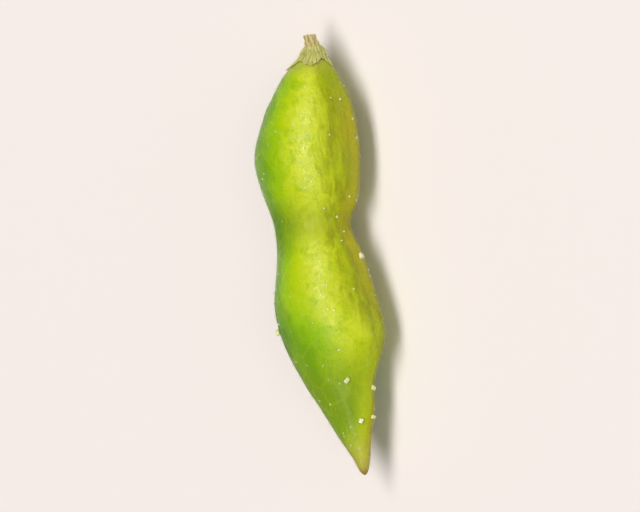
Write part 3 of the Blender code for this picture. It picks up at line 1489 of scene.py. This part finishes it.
@dataclass
class Salt:
    """Salt on the skin: coarse grains, each a piece of its own, and finer ones as one piece."""

    skin: Skin
    fine_count: int = 90
    fine_size: tuple[float, float] = (0.10 * MM, 0.26 * MM)
    fine_part: tuple[float, float] = (0.08, 0.96)
    past_seams: float = 0.35
    standing: float = 0.22
    box_over_edge: float = 2.1
    coarse_wear: int = 3
    fine_wear: int = 1
    dent: float = 0.10

    def build(self, material: bpy.types.Material) -> None:
        """Makes every grain.

        Args:
            material: Their finish.
        """
        number = 1
        while f"salt_grain_{number}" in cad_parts:
            self.coarse(f"salt_grain_{number}", number, material)
            number += 1
        self.fine(material)

    def coarse(self, node: str, seed: int, material: bpy.types.Material) -> None:
        """One coarse grain, standing on the finished skin where its solid is.

        Args:
            node: Its solid's node.
            seed: The seed of its chance variation.
            material: Its finish.
        """
        low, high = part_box(node)
        middle = (low + high) / 2
        shape = self.skin.shape
        along = shape.shift.y - middle.y
        turns = [math.radians(degrees) for degrees in range(360)]
        nearest = min(turns, key=lambda turn: (shape.point(along, turn) - middle).length)
        size = (high - low).length / self.box_over_edge
        bm = self.crystal(self.skin.surface(along, nearest), size, random.Random(seed), self.coarse_wear)
        piece = publish(f"{node}_crystal", bm, material, Slot.SALT)
        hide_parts(node)

    def fine(self, material: bpy.types.Material) -> None:
        """The finer grains, scattered over the upper face and the seams.

        Args:
            material: Their finish.
        """
        pick = random.Random(5)
        bm = bmesh.new()
        held = bpy.data.meshes.new("grain")
        for _ in range(self.fine_count):
            along = self.skin.shape.at_share(pick.uniform(*self.fine_part))
            turn = pick.uniform(-self.past_seams, math.pi + self.past_seams)
            footing = self.skin.surface(along, turn)
            size = pick.uniform(*self.fine_size)
            graft(bm, self.crystal(footing, size, pick, self.fine_wear), held)
        bpy.data.meshes.remove(held)
        publish("fine_salt", bm, material, Slot.SALT)

    def crystal(self, footing: Footing, size: float, pick: random.Random, wear: int) -> bmesh.types.BMesh:
        """One worn cube of salt, sunk a little into the film of water on the skin.

        Args:
            footing: Where it stands, and the way its top faces.
            size: Its edge length.
            pick: The source of its chance variation.
            wear: How many segments round its edges have.

        Returns:
            The crystal.
        """
        at, normal = footing
        bm = bmesh.new()
        bmesh.ops.create_cube(bm, size=size)
        stretch = [pick.uniform(0.75, 1.1), pick.uniform(0.75, 1.1), pick.uniform(0.6, 0.9)]
        bmesh.ops.scale(bm, vec=stretch, verts=bm.verts)
        for vert in bm.verts:
            vert.co += Vector([pick.gauss(0, 0.07) * size for _ in range(3)])
        bmesh.ops.bevel(
            bm,
            geom=bm.edges[:],
            offset=size * (0.14 + 0.03 * wear),
            segments=wear,
            profile=0.5,
            affect="EDGES",
            material=-1,
        )
        if wear > 1:
            self.melt(bm, size, Vector([pick.uniform(0, 9) for _ in range(3)]))
        tilt = Matrix.Rotation(pick.gauss(0, 0.3), 4, "X")
        tilt @= Matrix.Rotation(pick.uniform(0, math.tau), 4, "Z")
        facing = normal.to_track_quat("Z", "Y").to_matrix().to_4x4()
        place = Matrix.Translation(at + normal * size * self.standing)
        bmesh.ops.transform(bm, matrix=place @ facing @ tilt, verts=bm.verts)
        return bm

    def melt(self, bm: bmesh.types.BMesh, size: float, seed: Vector) -> None:
        """Gives a coarse crystal the dents of one that has begun to dissolve.

        Args:
            bm: The crystal.
            size: Its edge length.
            seed: Where in the noise its dents are read.
        """
        bmesh.ops.subdivide_edges(bm, edges=bm.edges[:], cuts=2, use_grid_fill=True)
        bm.normal_update()
        for vert in bm.verts:
            dent = noise.noise(vert.co / (0.45 * size) + seed)
            dent += 0.5 * noise.noise(vert.co / (0.18 * size) + seed)
            vert.co += vert.normal * dent * self.dent * size


# ---------------------------------------------------------------------------------------------------------
# Studio
# ---------------------------------------------------------------------------------------------------------


@dataclass
class Studio:
    """The floor, the lights and the camera."""

    low: Vector
    high: Vector
    elevation: float = 62.0
    picture_tilt: float = 5.9
    picture: tuple[int, int] = (640, 512)
    lens: float = 110.0
    fill: float = 0.86
    reach: float = 1.5
    floor_half: float = 2.0

    @property
    def centre(self) -> Vector:
        """The middle of the object."""
        return (self.low + self.high) / 2

    def floor(self) -> None:
        """A wide plain surface under the pod."""
        bm = bmesh.new()
        bmesh.ops.create_grid(bm, x_segments=1, y_segments=1, size=self.floor_half)
        surface = place_mesh("floor", bm, FloorFinish().make())

    def lamp(
        self,
        name: str,
        azimuth: float,
        elevation: float,
        size: tuple[float, float],
        power: float,
        tint: str,
        shift: float = 0.0,
    ) -> None:
        """A soft light aimed at the pod.

        Args:
            name: The light's name.
            azimuth: Its direction in degrees, 0 towards -Y and 90 towards +X.
            elevation: Its height in degrees.
            size: Its two widths over its distance, the second along the pod where the light is overhead.
            power: Its power in watts.
            tint: Its colour.
            shift: How far it is moved towards +Y over its distance, without being turned.
        """
        data = bpy.data.lights.new(name, "AREA")
        data.shape = "RECTANGLE"
        data.size, data.size_y = (width * self.reach for width in size)
        data.energy = power
        data.color = linear(tint)[:3]
        light = bpy.data.objects.new(name, data)
        a, e = math.radians(azimuth), math.radians(elevation)
        back = Vector((math.sin(a) * math.cos(e), -math.cos(a) * math.cos(e), math.sin(e)))
        light.location = self.centre + (back + Vector((0, shift, 0))) * self.reach
        across = Vector((0, 1, 0)).cross(back).normalized()
        light.rotation_euler = Matrix((across, back.cross(across), back)).transposed().to_euler()
        bpy.context.scene.collection.objects.link(light)

    def lights(self) -> None:
        """Soft studio light: a long key overhead, a wide sky and a weaker fill from the hollow side."""
        self.lamp("key", 270, 87, (0.24, 1.22), 20.5, "#fffcfa", shift=0.11)
        self.lamp("sky", 90, 70, (1.55, 1.55), 6.0, "#fffdfc")
        self.lamp("side", 90, 25, (0.67, 0.67), 1.1, "#fffdf8")

    def room(self) -> None:
        """The dim light from all round, which is paler near the horizon, as the walls of a room are."""
        world = bpy.data.worlds.new("studio")
        world.use_nodes = True
        tree = world.node_tree
        parts = tree.nodes.new("ShaderNodeSeparateXYZ")
        fade = tree.nodes.new("ShaderNodeMapRange")
        background = tree.nodes["Background"]
        background.inputs["Color"].default_value = linear("#f6f0ea")
        limits = {"From Min": 0.08, "From Max": 0.40, "To Min": 0.75, "To Max": 0.13}
        for name, value in limits.items():
            fade.inputs[name].default_value = value
        tree.links.new(tree.nodes.new("ShaderNodeTexCoord").outputs["Object"], parts.inputs[0])
        tree.links.new(parts.outputs["Z"], fade.inputs["Value"])
        tree.links.new(fade.outputs["Result"], background.inputs["Strength"])
        bpy.context.scene.world = world

    def camera(self) -> None:
        """Looks down on the pod from the side of its hollow seam."""
        e = math.radians(self.elevation)
        back = Vector((math.cos(e), 0, math.sin(e)))
        up = Vector((0, 1, 0))
        right = up.cross(back)
        turned = Matrix.Rotation(math.radians(-self.picture_tilt), 3, back)
        rotation = Matrix((turned @ right, turned @ up, back)).transposed()
        data = bpy.data.cameras.new("camera")
        data.lens = self.lens
        width, height = self.picture
        half_height = data.sensor_width / 2 / data.lens * height / width
        distance = (self.high.y - self.low.y) / 2 / self.fill / half_height
        data.clip_start = distance / 100
        data.clip_end = distance * 100
        camera = bpy.data.objects.new("camera", data)
        camera.matrix_world = Matrix.Translation(self.centre + back * distance) @ rotation.to_4x4()
        bpy.context.scene.collection.objects.link(camera)
        bpy.context.scene.camera = camera

    def build(self) -> None:
        """Sets everything up."""
        self.floor()
        self.lights()
        self.room()
        self.camera()
        bpy.context.scene.view_settings.view_transform = "Standard"


def main() -> None:
    """Builds the pod's pieces in order, then the studio."""
    shape = PodShape()
    shape.settle(*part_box("pod"))
    skin = Skin(shape)
    skin.build(SkinFinish().make())
    calyx = Calyx(shape)
    Hairs(skin, calyx).build(HairFinish().make())
    # Each "rib" colour is the blotches' darker tone and the painted shade in the furrows.
    dry = DryFinish("dry_calyx", "#c2c260", rib="#989834", pale="#dfdc9e", brown="#a4903c", browning=0.5)
    calyx.build(dry.make())
    dry = DryFinish("dry_stalk", "#c2b56c", rib="#9a9040", pale="#e8d5ac", brown="#947844", rough=0.62)
    Stalk(shape, *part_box("stalk")).build(dry.make())
    Salt(skin).build(SaltFinish().make())
    Studio(*cad_box).build()


if __name__ == "__main__":
    logging.basicConfig(level=logging.INFO)
    main()
